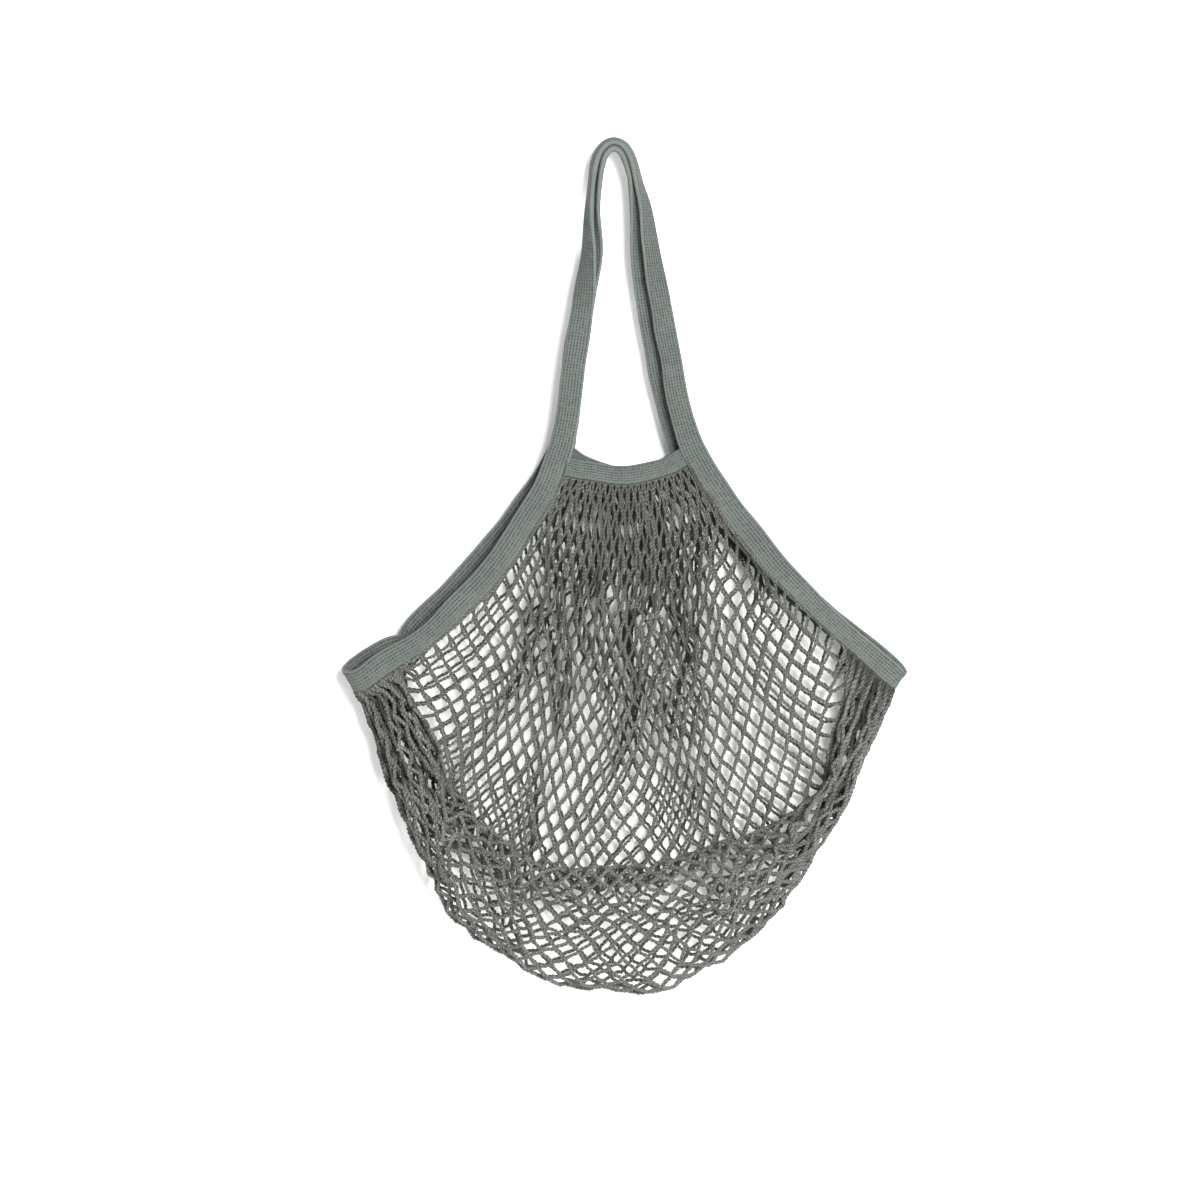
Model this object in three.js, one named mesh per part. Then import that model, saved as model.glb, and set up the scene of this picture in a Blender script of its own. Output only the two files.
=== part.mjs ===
import * as THREE from 'three';

// Net market bag, hanging from its two handles. Millimetres, +Z up, +X to the right of the front, +Y to the back.
// The origin is the spot inside the top of the back handle on which the bag hangs.
// One long knitted tape makes both handles and binds the mouth; two short tapes bridge the handles' feet.

// Driving dimensions
const TAPE_THICK = 2.4;
const TAPE_EDGE = 0.7; // rounding of the tape's two edges
const TAPE_RINGS = 2; // lofted sections between two rows of a tape's table
const SEAM_GAP = 0.3; // clearance between pieces that are sewn together
const NET_WALL = 2.4;
const NET_BAR = 7; // width of the net between two gaps
const NET_COLUMNS = 7; // diamonds across the net
const NET_ROWS = 7; // half diamonds from the front mouth to the bottom fold, and again up the back
const BAR_STEPS = 3; // straight pieces in one side of a diamond
const WIDEST_INSET = 0.55; // most of a small gap that its bars may fill
const NET_DROP = 0.8; // from the tape's edge to the middle of the net's edge
const GATHER = 66; // length of mouth, either way from a corner, on to which the net's side is gathered
const NET_START = 12; // from a handle's foot, along the side band, to the first mesh
const TOP_START = 6; // from an end of a top band to the first mesh on it
const TOP_SHARE = 0.46; // share of the net's columns that hang on a top band

const TAPE_COLOUR = 0x7f8983;
const NET_COLOUR = 0x75766f;

// The long tape, as a closed loop of sections. x, y and z are the middle of the tape. lean is the direction of
// its width in the front view, in degrees from +X up to +Z, and turn swings that width towards +Y.
// The width's positive end is the edge that the net is sewn to.
// Columns: x, y, z, lean, turn, wide
const HANDLE_FRONT = [
  [-39.2, -9, -215.3, -24, 0, 17.5],
  [-34, -9, -195.7, -10, 0, 16.5],
  [-30.1, -8.5, -167.7, -8, 0, 16.5],
  [-25.6, -8, -134, -8, 0, 16.5],
  [-21.4, -7, -107.5, -7, -15, 16.5],
  [-18.2, -5.5, -78, -4, -50, 16],
  [-17.9, -3.5, -52, -3, -75, 15],
  [-16.1, -1.5, -26.3, -5, -90, 14],
  [-13, -0.5, -6.7, 0, -90, 13],
  [-7.6, 0, 3.2, 0, -90, 13],
  [0, 0, 6.8, 0, -90, 13],
  [7.8, 0, 3.2, 0, -90, 13],
  [13.2, -0.5, -6.7, 0, -90, 13],
  [17.4, -1.5, -23.5, 5, -100, 14],
  [22.2, -3, -43, 8, -118, 15],
  [26.6, -5, -73.9, 9, -140, 16],
  [32.6, -7, -107.5, 9, -170, 15],
  [38.6, -8, -141, 9, -180, 15],
  [44.8, -8.5, -174.7, 10, -180, 16],
  [51.8, -9, -200.6, 16, -180, 16.5],
];
const BAND_RIGHT = [
  [58.1, -9, -215.3, 26, -180, 17.5],
  [72.1, -10, -237.7, 33, -180, 18],
  [105, -13, -281.4, 39, -180, 18],
  [144.2, -12, -323.4, 46, -180, 18],
  [173.6, -8, -348, 49, -180, 17.5],
  [191.8, -4.5, -365, 52, -180, 17],
  [199.5, 1, -370.6, 60, -180, 17],
  [193.2, 6, -364.3, 54, -180, 17],
  [163.6, 8, -340.5, 48, -180, 17.5],
  [144.4, 8, -323.2, 45, -180, 18],
  [100.8, 8, -280.4, 40, -180, 18],
  [65.1, 8, -235.6, 34, -180, 18],
];
const HANDLE_BACK = [
  [50.4, 8, -213.2, 24, -180, 17.5],
  [43.8, 7.5, -200.6, 16, -180, 16.5],
  [36, 7, -174.7, 12, -180, 16],
  [29.8, 6.5, -141, 10, -180, 16],
  [23.1, 6, -107.5, 8, -170, 16],
  [18.2, 5, -73.9, 6, -145, 16],
  [14.4, 3.5, -43, 4, -115, 15],
  [11.6, 1.5, -20.7, 0, -95, 14],
  [7.7, 0.5, -6.7, 0, -90, 13],
  [4.2, 0, -0.7, 0, -90, 13],
  [0, 0, 1.7, 0, -90, 13],
  [-4.2, 0, -0.7, 0, -90, 13],
  [-7.4, 0.5, -6.7, 0, -90, 13],
  [-9.5, 1.5, -20.7, 0, -88, 14],
  [-11.6, 3.5, -43, -3, -80, 15],
  [-13.3, 6, -69.7, -4, -50, 16],
  [-19.6, 7, -97.7, -7, -20, 16],
  [-25.9, 7.5, -134, -8, 0, 16.5],
  [-30.4, 8, -167.7, -8, 0, 16.5],
  [-33.6, 8, -195.7, -10, 0, 16.5],
];
const BAND_LEFT = [
  [-38.4, 8, -211.8, -24, 0, 17.5],
  [-67.9, 8, -257.3, -36, 0, 18.5],
  [-110.6, 8, -307, -44, 0, 18.5],
  [-158.6, 7, -350, -54, 0, 18],
  [-178.5, 4, -362, -56, 0, 17.5],
  [-184.8, -7, -370.6, -60, 0, 17.5],
  [-176.4, -17, -370.7, -58, 0, 17.5],
  [-158.2, -20, -358, -53, 0, 18],
  [-107, -18, -318, -44, 0, 18.5],
  [-80.2, -15, -288.8, -40, 0, 18.5],
  [-51, -11, -242.6, -34, 0, 18.5],
];
const CORNER_RIGHT = 6; // the row of BAND_RIGHT at the fold of the corner
const CORNER_LEFT = 5;

// The short tapes, left to right. They lie inside the long tape, and their ends are tucked behind it.
// Columns: x, y, z, lean, turn, wide
const TOP_FRONT = [
  [-35.7, -6.3, -221.6, -100, 0, 14],
  [-18.2, -6.3, -225, -97, 0, 14],
  [7.7, -6.3, -227.9, -90, 0, 14],
  [37.8, -6.3, -221.2, -75, 0, 14],
  [54.6, -6.3, -211.8, -60, 0, 14],
];
const TOP_BACK = [
  [-36, 5.3, -209.5, -116, 0, 14],
  [-21, 5.3, -220.5, -112, 0, 14],
  [5.6, 5.3, -229, -90, 0, 14],
  [28.7, 5.3, -225.5, -80, 0, 14],
  [46.2, 5.3, -215, -65, 0, 14],
];

// The fold at the foot of the net, from the left corner of the mouth to the right one.
// Columns: x, y, z
const BOTTOM_FOLD = [
  [-171, -9, -399],
  [-151, -8, -455],
  [-122, -6, -512],
  [-91, -5, -553],
  [-46, -4, -580],
  [-1, -4, -587],
  [46, -4, -580],
  [93, -4, -553],
  [128, -4, -512],
  [161, -3, -455],
  [187, -1, -399],
];

// How far the net swells out of the plain surface between mouth and fold. The front hangs full, dips at a
// crease that runs round parallel to the fold, and swells again into a roll. The back lies nearly flat.
// Columns: part of the way from mouth to fold, swell
const SWELL_FRONT = [
  [0, 0],
  [0.3, 9],
  [0.56, 14],
  [0.76, 3],
  [0.88, 27],
  [0.96, 19],
  [1, 0],
];
const SWELL_BACK = [
  [0, 0],
  [0.3, 2],
  [0.8, 9],
  [0.94, 9],
  [1, 0],
];

const vector = ([x, y, z]) => new THREE.Vector3(x, y, z);
const radians = THREE.MathUtils.degToRad;

// A tape's path: its middle, and beside it the lean, turn and width, both read at a row number
function tapePath(rows, closed) {
  const curve = (points) => new THREE.CatmullRomCurve3(points, closed, 'catmullrom', 0.5);
  const middle = curve(rows.map(vector));
  const setting = curve(rows.map((row) => vector(row.slice(3))));
  const spans = closed ? rows.length : rows.length - 1;
  return (row) => {
    const part = row / spans - Math.floor(row / (spans + 1e-9));
    const { x: lean, y: turn, z: wide } = setting.getPoint(part);
    const along = middle.getTangent(part);
    const flat = Math.cos(radians(turn));
    const across = vector([
      Math.cos(radians(lean)) * flat,
      Math.sin(radians(turn)),
      Math.sin(radians(lean)) * flat,
    ]);
    across.addScaledVector(along, -across.dot(along)).normalize();
    const out = new THREE.Vector3().crossVectors(along, across);
    return { middle: middle.getPoint(part), along, across, out, wide };
  };
}

// A solid from corners and triangles, turned so that its faces point out
function solidGeometry(corners, triangles) {
  const volume = triangles.reduce((sum, [a, b, c]) => {
    const normal = new THREE.Vector3().crossVectors(corners[b], corners[c]);
    return sum + corners[a].dot(normal);
  }, 0);
  const faces = volume > 0 ? triangles : triangles.map(([a, b, c]) => [a, c, b]);
  const geometry = new THREE.BufferGeometry().setFromPoints(corners);
  geometry.setIndex(faces.flat());
  geometry.computeVertexNormals();
  return geometry;
}

// A stretch of tape between two rows of its path: a flat section with rounded edges, lofted and capped
function tapeGeometry(path, from, to) {
  const steps = Math.ceil((to - from) * TAPE_RINGS);
  const half = TAPE_THICK / 2;
  const corners = [];
  for (let step = 0; step <= steps; step += 1) {
    const { middle, along, across, out, wide } = path(from + ((to - from) * step) / steps);
    const endShift = { 0: SEAM_GAP / 2, [steps]: -SEAM_GAP / 2 }[step] ?? 0;
    const centre = middle.clone().addScaledVector(along, endShift);
    const edge = wide / 2;
    const section = [
      [edge, half - TAPE_EDGE],
      [edge - TAPE_EDGE, half],
      [TAPE_EDGE - edge, half],
      [-edge, half - TAPE_EDGE],
      [-edge, TAPE_EDGE - half],
      [TAPE_EDGE - edge, -half],
      [edge - TAPE_EDGE, -half],
      [edge, TAPE_EDGE - half],
    ];
    for (const [a, n] of section) {
      corners.push(centre.clone().addScaledVector(across, a).addScaledVector(out, n));
    }
  }
  const sides = 8;
  const triangles = [];
  for (let step = 0; step < steps; step += 1) {
    for (let side = 0; side < sides; side += 1) {
      const here = step * sides + side;
      const next = step * sides + ((side + 1) % sides);
      triangles.push([here, next, next + sides], [here, next + sides, here + sides]);
    }
  }
  const last = steps * sides;
  for (let side = 1; side < sides - 1; side += 1) {
    triangles.push([0, side + 1, side], [last, last + side, last + side + 1]);
  }
  return solidGeometry(corners, triangles);
}

// The edge of a tape that the net is sewn to, as a curve between two rows of the tape's path
function sewnEdge(path, from, to) {
  const samples = 60;
  const points = [];
  for (let sample = 0; sample <= samples; sample += 1) {
    const { middle, across, wide } = path(from + ((to - from) * sample) / samples);
    points.push(middle.clone().addScaledVector(across, wide / 2 + NET_DROP));
  }
  const curve = new THREE.CatmullRomCurve3(points);
  const length = curve.getLength();
  return { length, at: (distance) => curve.getPointAt(THREE.MathUtils.clamp(distance / length, 0, 1)) };
}

// A value read from a two-column table, eased from row to row
function eased(table, place) {
  const next = Math.max(1, table.findIndex(([start]) => start >= place));
  const [fromPlace, fromValue] = table[next - 1];
  const [toPlace, toValue] = table[next];
  const part = (place - fromPlace) / (toPlace - fromPlace);
  return fromValue + (toValue - fromValue) * part * part * (3 - 2 * part);
}

// The long tape and its four stretches
const longRows = [...HANDLE_FRONT, ...BAND_RIGHT, ...HANDLE_BACK, ...BAND_LEFT];
const longTape = tapePath(longRows, true);
const footRightFront = HANDLE_FRONT.length;
const footRightBack = footRightFront + BAND_RIGHT.length;
const footLeftBack = footRightBack + HANDLE_BACK.length;
const footLeftFront = longRows.length;
const topFront = tapePath(TOP_FRONT, false);
const topBack = tapePath(TOP_BACK, false);

// The mouth of the net: the sewn edges of the side bands, read from the corners, and of the top bands
const cornerRight = footRightFront + CORNER_RIGHT;
const cornerLeft = footLeftBack + CORNER_LEFT;
const mouth = {
  front: {
    left: sewnEdge(longTape, cornerLeft, footLeftFront),
    top: sewnEdge(topFront, 0, TOP_FRONT.length - 1),
    right: sewnEdge(longTape, cornerRight, footRightFront),
  },
  back: {
    left: sewnEdge(longTape, cornerLeft, footLeftBack),
    top: sewnEdge(topBack, 0, TOP_BACK.length - 1),
    right: sewnEdge(longTape, cornerRight, footRightBack),
  },
};
const bottomFold = new THREE.CatmullRomCurve3([
  mouth.front.left.at(0),
  ...BOTTOM_FOLD.map(vector),
  mouth.front.right.at(0),
]);

// A point of the mouth at a share of the columns, from -1 at the left to 1 at the right
function mouthPoint({ left, top, right }, share) {
  if (Math.abs(share) < TOP_SHARE) {
    const part = (share / TOP_SHARE + 1) / 2;
    return top.at(TOP_START + part * (top.length - 2 * TOP_START));
  }
  const band = share < 0 ? left : right;
  const part = (1 - Math.abs(share)) / (1 - TOP_SHARE);
  return band.at(GATHER + part * (band.length - NET_START - GATHER));
}

// A point of the net: share across it, and way down it, 0 at the front mouth, 1 at the fold, 2 at the back mouth
function netPoint(share, way) {
  const face = way <= 1 ? mouth.front : mouth.back;
  const down = way <= 1 ? way : 2 - way;
  const side = (share + 1) / 2;
  const gathered = ({ at }, part) => at(GATHER * (1 - part));
  const blend = (weights) => weights.reduce(
    (sum, [point, weight]) => sum.addScaledVector(point, weight),
    new THREE.Vector3(),
  );
  const point = blend([
    [mouthPoint(face, share), 1 - down],
    [bottomFold.getPointAt(side), down],
    [gathered(face.left, down), 1 - side],
    [gathered(face.right, down), side],
    [gathered(face.left, 0), -(1 - side) * (1 - down)],
    [gathered(face.right, 0), -side * (1 - down)],
    [gathered(face.left, 1), -(1 - side) * down],
    [gathered(face.right, 1), -side * down],
  ]);
  const fading = 1 - share ** 4;
  point.y += fading * (way <= 1 ? -eased(SWELL_FRONT, down) : eased(SWELL_BACK, down));
  return point;
}

// The net as one hollow sheet of diamonds with a gap in each, and half diamonds along its four edges and on
// both sides of the bottom fold
function netGeometry() {
  const places = new Map();
  const middle = [];
  const corner = (column, row) => {
    const key = `${column.toFixed(4)} ${row.toFixed(4)}`;
    if (!places.has(key)) {
      places.set(key, middle.length);
      middle.push(netPoint(column / NET_COLUMNS - 1, row / NET_ROWS));
    }
    return places.get(key);
  };
  const triangles = [];
  const addCell = (ends) => {
    const mean = (axis) => ends.reduce((sum, end) => sum + end[axis], 0) / ends.length;
    const heart = [mean(0), mean(1)];
    const rim = ends.flatMap((end, number) => {
      const next = ends[(number + 1) % ends.length];
      const steps = Array.from({ length: BAR_STEPS }, (_, step) => step / BAR_STEPS);
      return steps.map((part) => [0, 1].map((axis) => end[axis] + (next[axis] - end[axis]) * part));
    });
    const at = ([column, row]) => middle[corner(column, row)];
    const centre = netPoint(heart[0] / NET_COLUMNS - 1, heart[1] / NET_ROWS);
    const reach = Math.min(...ends.map((end, number) => {
      const side = new THREE.Line3(at(end), at(ends[(number + 1) % ends.length]));
      return side.closestPointToPoint(centre, true, new THREE.Vector3()).distanceTo(centre);
    }));
    const inset = Math.min(WIDEST_INSET, NET_BAR / 2 / reach);
    const hole = rim.map((place) => place.map((value, axis) => value + (heart[axis] - value) * inset));
    rim.forEach((place, number) => {
      const next = (number + 1) % rim.length;
      const [a, b] = [corner(...place), corner(...rim[next])];
      const [c, d] = [corner(...hole[next]), corner(...hole[number])];
      triangles.push([a, b, c], [a, c, d]);
    });
  };
  const width = 2 * NET_COLUMNS;
  const height = 2 * NET_ROWS;
  for (let row = 0; row <= height; row += 1) {
    for (let column = (row + 1) % 2; column <= width; column += 2) {
      const [left, above] = [[column - 1, row], [column, row - 1]];
      const [right, below] = [[column + 1, row], [column, row + 1]];
      const inside = ([c, r]) => c >= 0 && c <= width && r >= 0 && r <= height;
      if (row === NET_ROWS && inside(left) && inside(right)) {
        addCell([left, above, right]);
        addCell([right, below, left]);
      } else {
        addCell([left, above, right, below].filter(inside));
      }
    }
  }
  return thickened(middle, triangles, NET_WALL);
}

// A wall of even thickness about a sheet of triangles, closed along every edge and gap of the sheet
function thickened(middle, triangles, wall) {
  const normals = middle.map(() => new THREE.Vector3());
  const edges = new Set();
  for (const [a, b, c] of triangles) {
    const face = new THREE.Triangle(middle[a], middle[b], middle[c]);
    const normal = face.getNormal(new THREE.Vector3()).multiplyScalar(face.getArea());
    [a, b, c].forEach((corner) => normals[corner].add(normal));
    [[a, b], [b, c], [c, a]].forEach(([from, to]) => edges.add(`${from} ${to}`));
  }
  normals.forEach((normal) => normal.setLength(wall / 2));
  const outer = middle.map((point, number) => point.clone().add(normals[number]));
  const inner = middle.map((point, number) => point.clone().sub(normals[number]));
  const behind = middle.length;
  const skin = triangles.flatMap(([a, b, c]) => [[a, b, c], [a + behind, c + behind, b + behind]]);
  for (const edge of edges) {
    const [from, to] = edge.split(' ').map(Number);
    if (!edges.has(`${to} ${from}`)) {
      skin.push([to, from, from + behind], [to, from + behind, to + behind]);
    }
  }
  return solidGeometry([...outer, ...inner], skin);
}

const tapeMaterial = () => new THREE.MeshStandardMaterial({ color: TAPE_COLOUR, roughness: 0.9, metalness: 0 });
const netMaterial = () => new THREE.MeshStandardMaterial({ color: NET_COLOUR, roughness: 0.92, metalness: 0 });

const bag = new THREE.Group();
function addPiece(name, geometry, material) {
  const piece = new THREE.Mesh(geometry, material);
  piece.name = name;
  bag.add(piece);
}

addPiece('handle_front', tapeGeometry(longTape, 0, footRightFront), tapeMaterial());
addPiece('handle_back', tapeGeometry(longTape, footRightBack, footLeftBack), tapeMaterial());
addPiece('side_band_left', tapeGeometry(longTape, footLeftBack, footLeftFront), tapeMaterial());
addPiece('side_band_right', tapeGeometry(longTape, footRightFront, footRightBack), tapeMaterial());
addPiece('top_band_front', tapeGeometry(topFront, 0, TOP_FRONT.length - 1), tapeMaterial());
addPiece('top_band_back', tapeGeometry(topBack, 0, TOP_BACK.length - 1), tapeMaterial());
addPiece('net_body', netGeometry(), netMaterial());

export default bag;
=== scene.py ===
import bpy
import numpy as np
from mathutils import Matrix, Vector


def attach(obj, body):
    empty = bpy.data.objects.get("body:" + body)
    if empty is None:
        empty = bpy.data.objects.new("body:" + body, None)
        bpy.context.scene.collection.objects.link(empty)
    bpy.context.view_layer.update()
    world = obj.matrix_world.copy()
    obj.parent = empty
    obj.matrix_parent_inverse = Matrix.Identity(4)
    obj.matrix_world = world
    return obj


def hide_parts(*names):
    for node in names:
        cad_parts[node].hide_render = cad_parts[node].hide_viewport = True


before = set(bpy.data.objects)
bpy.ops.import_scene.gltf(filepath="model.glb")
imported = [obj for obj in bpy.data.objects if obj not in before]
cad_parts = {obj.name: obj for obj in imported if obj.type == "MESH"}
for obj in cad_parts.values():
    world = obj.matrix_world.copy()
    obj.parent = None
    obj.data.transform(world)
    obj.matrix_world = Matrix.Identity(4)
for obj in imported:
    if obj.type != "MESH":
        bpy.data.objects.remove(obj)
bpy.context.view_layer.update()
bpy.ops.object.select_all(action="DESELECT")


# The binding tape: one long strip of waffle knitted cotton, 16 to 18 mm wide, whose two ends meet in a ring.
# It makes both handles, and between them it is folded over the edge of the net and sewn down round the mouth.
MM = 0.001
FULL_TURN = 6.283
TAPE_THICK = 2.9  # where the tape is as wide as its knitting, and more where it is bunched
TAPE_WIDE = 17
TAPE_STRAY = 0.2  # how far its width and its middle line wander
RIBS = 8  # raised ribs side by side in the width of the tape
PIT_STEP = 2.2  # from one pit to the next along a rib
PIT_DEEP = 0.55
GROOVE_PITS, RIB_PITS = (1, 0.62), (0.3, 0)  # parts of that depth at a pit and between two pits
PIT_CHANCE = (0.6, 1.25)
SEAM_AT, SEAM_WIDE = 0.875, 0.05  # the seam beside the net, in half widths of the tape
SEAM_DEEP, SEAM_DARK = 0.35, 0.8
TOP_ROW, TOP_ROWS = 10, 4.5  # a handle's row at the hanging point, and how many rows lie askew either way
TOP_TILT = np.radians(13)

# Each row is a place on the strip in millimetres. lean is the way its width points in the front view, in degrees
# from +X up to +Z, turn swings that towards +Y, and the width's positive end is the edge that holds the net.
# Columns: x, y, z, lean, turn, wide
handle_front = [
    [-39.2, -9, -215.3, -24, 0, 17.5],
    [-34, -9, -195.7, -10, 0, 16.5],
    [-30.1, -8.5, -167.7, -8, 0, 16.5],
    [-25.6, -8, -134, -8, 0, 16.5],
    [-21.4, -7, -107.5, -7, -15, 16.5],
    [-18.2, -5.5, -78, -4, -50, 16],
    [-17.9, -3.5, -52, -3, -75, 15],
    [-16.1, -1.5, -26.3, -5, -90, 14],
    [-13, -0.5, -6.7, 0, -90, 13],
    [-7.6, 0, 3.2, 0, -90, 13],
    [0, 0, 6.8, 0, -90, 13],
    [7.8, 0, 3.2, 0, -90, 13],
    [13.2, -0.5, -6.7, 0, -90, 13],
    [17.4, -1.5, -23.5, 5, -100, 14],
    [22.2, -3, -43, 8, -118, 15],
    [26.6, -5, -73.9, 9, -140, 16],
    [32.6, -7, -107.5, 9, -170, 15],
    [38.6, -8, -141, 9, -180, 15],
    [44.8, -8.5, -174.7, 10, -180, 16],
    [51.8, -9, -200.6, 16, -180, 16.5],
]
side_band_right = [
    [58.1, -9, -215.3, 26, -180, 17.5],
    [72.1, -10, -237.7, 33, -180, 18],
    [105, -13, -281.4, 39, -180, 18],
    [142.8, -12, -321.4, 45, -180, 15.5],
    [172.8, -8, -348.6, 49, -180, 15.5],
    [191.8, -4.5, -365, 52, -180, 17],
    [199.2, 1, -371.2, 60, -180, 15],
    [194, 6, -362.8, 54, -180, 17],
    [165, 8, -338.8, 47, -180, 17.5],
    [144.4, 8, -323.2, 45, -180, 18],
    [101.5, 8, -282.2, 40, -180, 18],
    [68.5, 8, -236.5, 34, -180, 18],
]
handle_back = [
    [50.4, 8, -213.2, 24, -180, 17.5],
    [43.8, 6, -200.6, 16, -180, 16.5],
    [36, 5, -174.7, 12, -180, 16],
    [29.8, 4, -141, 10, -180, 16],
    [23.1, 3.5, -107.5, 8, -170, 16],
    [18.7, 3, -73.9, 6, -145, 16],
    [15.5, 2, -43, 4, -115, 15],
    [12.6, 1, -20.7, 0, -95, 14],
    [8.4, 0.5, -6.7, 0, -90, 13],
    [4.6, 0, -0.1, 0, -90, 13],
    [0, 0, 2.2, 0, -90, 13],
    [-4.6, 0, -0.1, 0, -90, 13],
    [-8.2, 0.5, -6.7, 0, -90, 13],
    [-10.8, 1.5, -20.7, 0, -88, 14],
    [-12.6, 3.5, -43, -3, -80, 15],
    [-13.3, 6, -69.7, -4, -50, 16],
    [-19.6, 7, -97.7, -7, -20, 16],
    [-25.9, 7.5, -134, -8, 0, 16.5],
    [-30.4, 8, -167.7, -8, 0, 16.5],
    [-33.6, 8, -195.7, -10, 0, 16.5],
]
side_band_left = [
    [-38.4, 8, -211.8, -24, 0, 17.5],
    [-67.9, 8, -257.3, -36, 0, 18.5],
    [-110.6, 8, -307, -44, 0, 18.5],
    [-138, 8, -333.5, -47, 0, 18],
    [-145, 8, -345.5, -62, 0, 17.5],
    [-158.6, 7, -350, -56, 0, 18],
    [-178.5, 4, -362, -56, 0, 17.5],
    [-184.8, -7, -370.6, -60, 0, 17.5],
    [-176.4, -17, -370.7, -58, 0, 17.5],
    [-158.2, -20, -358, -53, 0, 18],
    [-129.5, -19.5, -339.8, -47.5, 0, 15.5],
    [-107, -18, -318, -44, 0, 18.5],
    [-80.2, -15, -288.8, -40, 0, 18.5],
    [-51, -11, -242.6, -34, 0, 18.5],
]
long_tape = np.array(handle_front + side_band_right + handle_back + side_band_left, float)
foot_right_front = len(handle_front)
foot_right_back = foot_right_front + len(side_band_right)
foot_left_back = foot_right_back + len(handle_back)
foot_left_front = len(long_tape)
corner_right = foot_right_front + 6  # the rows at the tips of the two corners
corner_left = foot_left_back + 7


def curve_through(rows, places, closed=False):
    """Values and slopes of a smooth curve through a table's rows, read at row numbers."""
    count = len(rows)
    if closed:
        ring = np.vstack([rows[-1], rows, rows[0], rows[1]])
        spans = count
    else:
        ring = np.vstack([2 * rows[0] - rows[1], rows, 2 * rows[-1] - rows[-2]])
        spans = count - 1
    places = np.asarray(places, float)
    start = np.clip(np.floor(places).astype(int), 0, spans - 1)
    t = (places - start)[:, None]
    before, a, b, after = (ring[start + step] for step in range(4))
    slope_a, slope_b = (b - before) / 2, (after - a) / 2
    square = 3 * (b - a) - 2 * slope_a - slope_b
    cube = 2 * (a - b) + slope_a + slope_b
    return a + slope_a * t + square * t**2 + cube * t**3, slope_a + 2 * square * t + 3 * cube * t**2


def unit(vectors):
    return vectors / np.maximum(np.linalg.norm(vectors, axis=-1, keepdims=True), 1e-9)


def fade(value, start, end):
    """0 up to the start, 1 from the end on, and a straight line between. With the end first it runs the other way."""
    return np.clip((value - start) / (end - start), 0, 1)


def tape_frame(rows, places, closed=False):
    """The middle, the way across, the way out and the width of a tape at row numbers."""
    value, slope = curve_through(rows, places, closed)
    lean, turn = np.radians(value[:, 3]), np.radians(value[:, 4])
    along = unit(slope[:, :3])
    across = np.stack([np.cos(lean) * np.cos(turn), np.sin(turn), np.sin(lean) * np.cos(turn)], axis=1)
    across = unit(across - along * (across * along).sum(1)[:, None])
    return value[:, :3], across, np.cross(along, across), value[:, 5]


class Line:
    """A curve through points, read by the distance along it."""

    def __init__(self, points):
        self.points = points
        steps = np.linalg.norm(np.diff(points, axis=0), axis=1)
        self.far = np.concatenate([[0], np.cumsum(steps)])
        self.length = self.far[-1]

    def at(self, distance):
        return np.stack([np.interp(distance, self.far, self.points[:, axis]) for axis in range(3)], axis=-1)


def tube_faces(rings, points, closed=False):
    """The faces round a tube of rings, and the ring and the point on it that each starts from."""
    ring, side = np.meshgrid(np.arange(rings if closed else rings - 1), np.arange(points), indexing="ij")
    ring, side = ring.ravel(), side.ravel()
    next_ring, next_side = (ring + 1) % rings, (side + 1) % points
    quads = np.stack([ring * points + side, ring * points + next_side,
                      next_ring * points + next_side, next_ring * points + side], axis=-1)
    return quads, ring, side


def knit_piece(name, corners, quads, chart, shade):
    """A mesh piece from corners in millimetres, its four-cornered faces, their chart and a shade at each corner."""
    mesh = bpy.data.meshes.new(name)
    mesh.vertices.add(len(corners))
    mesh.vertices.foreach_set("co", (corners * MM).astype(np.float32).ravel())
    mesh.loops.add(quads.size)
    mesh.loops.foreach_set("vertex_index", quads.astype(np.int32).ravel())
    mesh.polygons.add(len(quads))
    mesh.polygons.foreach_set("loop_start", np.arange(0, quads.size, 4, dtype=np.int32))
    mesh.polygons.foreach_set("use_smooth", np.ones(len(quads), bool))
    mesh.uv_layers.new(name="chart").data.foreach_set("uv", chart.astype(np.float32).ravel())
    mesh.attributes.new("shade", "FLOAT", "POINT").data.foreach_set("value", shade.astype(np.float32).ravel())
    mesh.update()
    mesh.validate()
    piece = bpy.data.objects.new(name, mesh)
    bpy.context.scene.collection.objects.link(piece)
    return piece


chance = np.random.default_rng(11)


def uneven(far, length, shortest, longest, closed=True):
    """Smooth chance along a length of tape, about 1 either way."""
    value = np.zeros(len(far))
    for _ in range(8):
        turns = length / chance.uniform(shortest, longest)
        turns = round(turns) if closed else turns
        value += np.cos(2 * np.pi * turns * far / length + chance.uniform(0, FULL_TURN))
    return value / 2


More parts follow.
